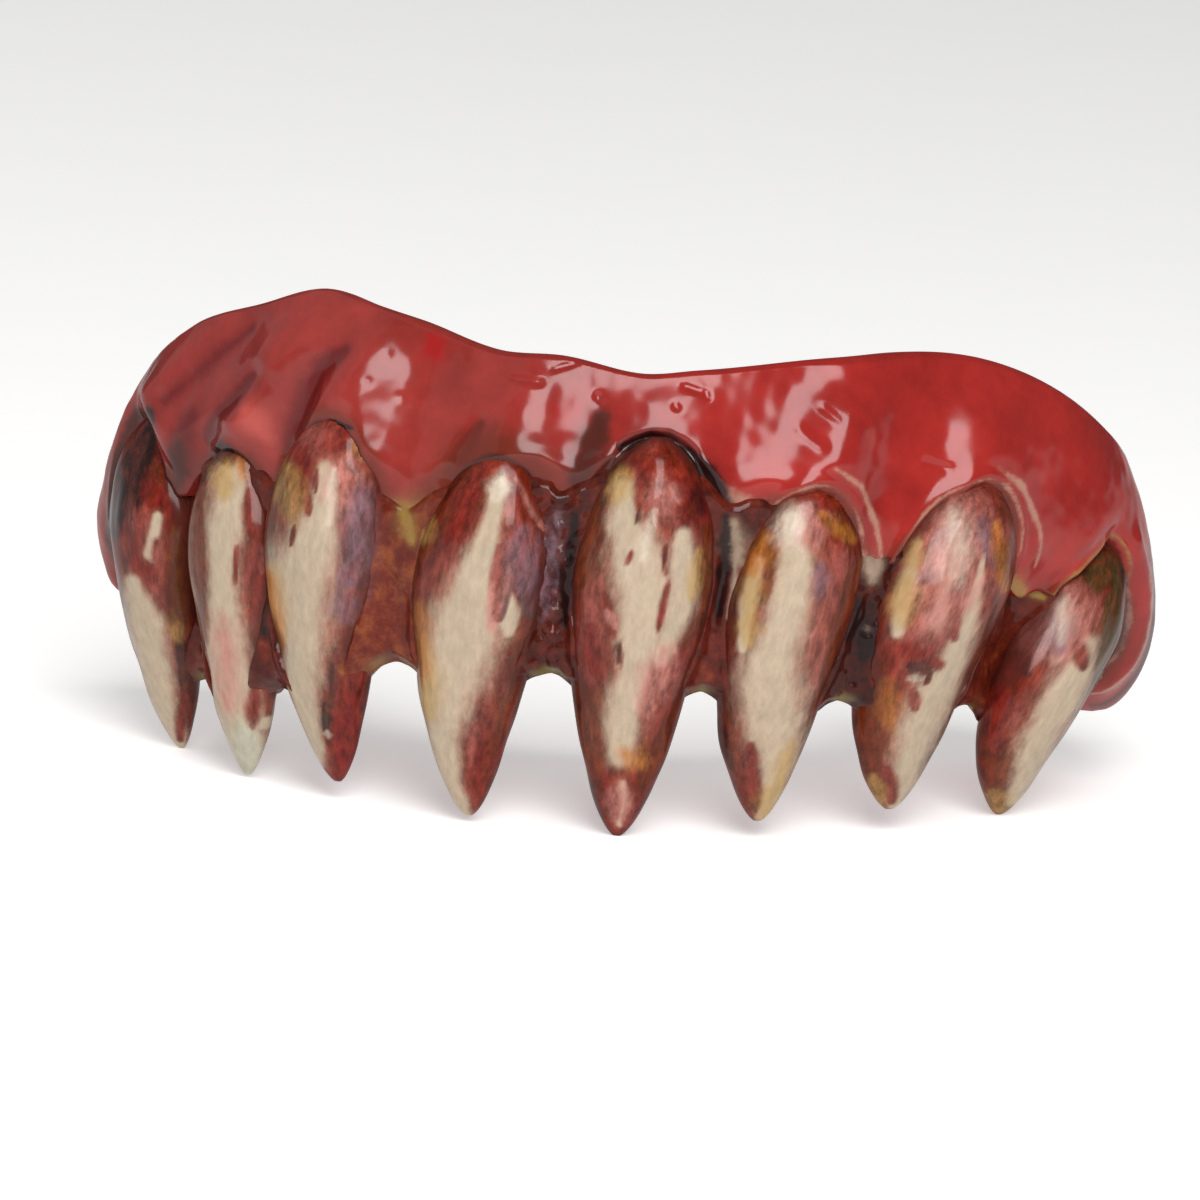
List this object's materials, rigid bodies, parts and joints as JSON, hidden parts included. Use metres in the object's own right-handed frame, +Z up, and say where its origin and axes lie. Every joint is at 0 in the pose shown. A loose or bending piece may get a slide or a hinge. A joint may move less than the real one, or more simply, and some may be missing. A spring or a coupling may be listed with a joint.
{
  "type": "demon costume teeth",
  "caption": "Slip-on upper costume veneer: a glossy pink acrylic gum plate with a fitting trough behind it and a row of stained, curved ivory fangs joined by a band.",
  "frame": {"origin": "under the middle of the piece, on the plane that the fang tips stand on", "axes": "+X along the width of the arch, towards the right as seen from the front; -Y towards the front of the mouth; +Z up, from the tips to the gum"},
  "size_m": [0.06, 0.0288, 0.0285],
  "materials": {
    "gum_acrylic": "cast pink-red dental acrylic with a wet clear gloss",
    "band_acrylic": "ivory acrylic under dark brown and ochre stain, glossy",
    "fang_acrylic": "ivory tooth acrylic, hand stained maroon and ochre, clear gloss"
  },
  "bodies": {
    "root": {"gum_plate": "gum_acrylic", "tooth_band": "band_acrylic", "fang_1": "fang_acrylic", "fang_2": "fang_acrylic", "fang_3": "fang_acrylic", "fang_4": "fang_acrylic", "fang_5": "fang_acrylic", "fang_6": "fang_acrylic", "fang_7": "fang_acrylic", "fang_8": "fang_acrylic"}
  },
  "joints": []
}
